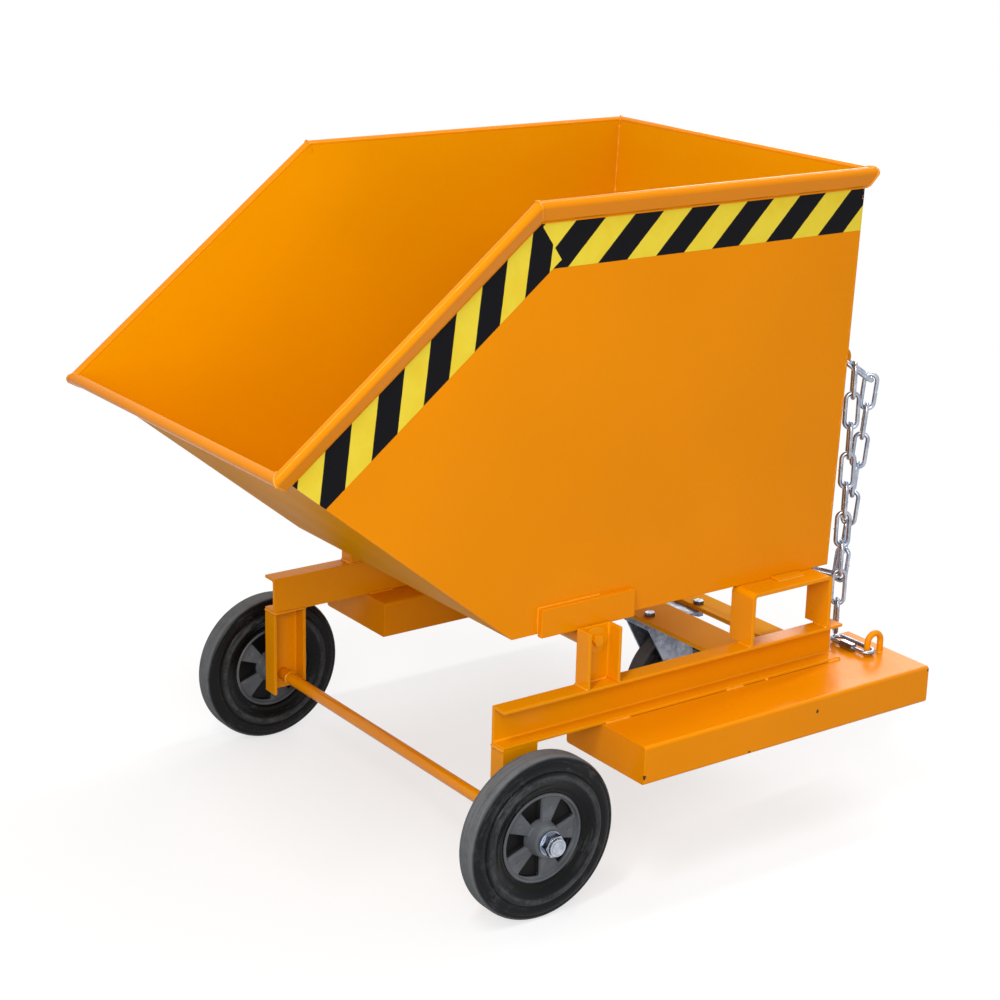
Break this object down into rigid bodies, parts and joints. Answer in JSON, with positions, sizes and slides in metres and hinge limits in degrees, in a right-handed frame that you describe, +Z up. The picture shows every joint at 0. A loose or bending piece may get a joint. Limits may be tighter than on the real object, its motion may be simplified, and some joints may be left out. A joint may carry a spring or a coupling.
{
  "type": "tipping box trolley",
  "caption": "Steel tipping trolley: a sloped sheet box with tube rim on a low channel frame with wheels, a swivel castor, fork pockets and a safety chain.",
  "frame": {"origin": "on the ground below the middle of the overall length and width", "axes": "+X to the rear, away from the tipping lip; +Y to the right when pushing forwards; +Z up"},
  "size_m": [1.1005, 0.867, 1.0131],
  "materials": {
    "orange_paint": "semi-gloss powder coat",
    "zinc": "bright zinc plate",
    "galvanised": "dull galvanised",
    "tyre_rubber": "matte",
    "rim_plastic": "satin",
    "bush_steel": "plain",
    "hazard_tape": "black and yellow stripes"
  },
  "bodies": {
    "chassis": {"rail_left": "orange_paint", "rail_right": "orange_paint", "leg_left": "orange_paint", "leg_right": "orange_paint", "pivot_post_left": "orange_paint", "pivot_post_right": "orange_paint", "rest_bridge_left": "orange_paint", "rest_bridge_right": "orange_paint", "box_guides": "orange_paint", "fork_pocket_left": "orange_paint", "fork_pocket_right": "orange_paint", "axle_rod": "orange_paint", "axle_spacers": "orange_paint", "axle_fasteners": "zinc", "pivot_shaft": "orange_paint", "pivot_fasteners": "orange_paint", "castor_bar_front": "orange_paint", "castor_bar_rear": "orange_paint", "castor_plate": "galvanised", "castor_bolts": "zinc", "kingpin": "zinc", "chain_eye": "orange_paint", "quick_link": "zinc"},
    "box": {"floor_plate": "orange_paint", "slope_plate": "orange_paint", "rear_panel": "orange_paint", "side_panel_left": "orange_paint", "side_panel_right": "orange_paint", "rim_slope_left": "orange_paint", "rim_slope_right": "orange_paint", "rim_top_left": "orange_paint", "rim_top_right": "orange_paint", "rim_rear": "orange_paint", "rim_lip": "orange_paint", "pivot_plate_left": "orange_paint", "pivot_plate_right": "orange_paint", "pivot_tube": "orange_paint", "hazard_tape_top_left": "hazard_tape", "hazard_tape_top_right": "hazard_tape", "hazard_tape_slope_left": "hazard_tape", "hazard_tape_slope_right": "hazard_tape", "push_handle": "zinc", "handle_lugs": "orange_paint", "panel_eyes": "orange_paint"},
    "wheel_left": {"tyre_left": "tyre_rubber", "wheel_rim_left": "rim_plastic", "hub_bush_left": "bush_steel"},
    "wheel_right": {"tyre_right": "tyre_rubber", "wheel_rim_right": "rim_plastic", "hub_bush_right": "bush_steel"},
    "castor": {"castor_fork": "galvanised", "castor_axle_bolt": "zinc"},
    "castor_wheel": {"castor_tyre": "tyre_rubber", "castor_rim": "rim_plastic", "castor_bush": "bush_steel"},
    "chain": {"chain_links": "zinc", "snap_hook": "zinc"},
    "hook_gate": {"snap_hook_gate": "zinc"},
    "link_sleeve": {"quick_link_sleeve": "zinc"}
  },
  "joints": [
    {"name": "box_tip", "type": "hinge", "parent": "chassis", "child": "box", "pos_m": [-0.02374, 0, 0.3684], "axis": [0, -1, 0], "range_deg": [0, 65]},
    {"name": "wheel_left_spin", "type": "hinge", "parent": "chassis", "child": "wheel_left", "pos_m": [-0.17124, -0.38, 0.125], "axis": [0, 1, 0], "continuous": true},
    {"name": "wheel_right_spin", "type": "hinge", "parent": "chassis", "child": "wheel_right", "pos_m": [-0.17124, 0.38, 0.125], "axis": [0, 1, 0], "continuous": true},
    {"name": "castor_swivel", "type": "hinge", "parent": "chassis", "child": "castor", "pos_m": [0.35926, 0, 0.2435], "axis": [0, 0, 1], "continuous": true},
    {"name": "castor_spin", "type": "hinge", "parent": "castor", "child": "castor_wheel", "pos_m": [0.40326, 0, 0.1], "axis": [0, 1, 0], "continuous": true},
    {"name": "chain_swing", "type": "hinge", "parent": "box", "child": "chain", "pos_m": [0.49476, -0.247, 0.70799], "axis": [0, -1, 0], "range_deg": [0, 35]},
    {"name": "hook_gate_open", "type": "hinge", "parent": "chain", "child": "hook_gate", "pos_m": [0.51715, -0.24349, 0.69675], "axis": [-0.464, 0.3371, -0.8192], "range_deg": [0, 20], "stiffness_Nm_per_rad": 0.05, "springref_deg": -17.19},
    {"name": "link_sleeve_slide", "type": "slide", "parent": "chassis", "child": "link_sleeve", "axis": [0, 1, 0], "range_m": [0, 0.009]}
  ]
}
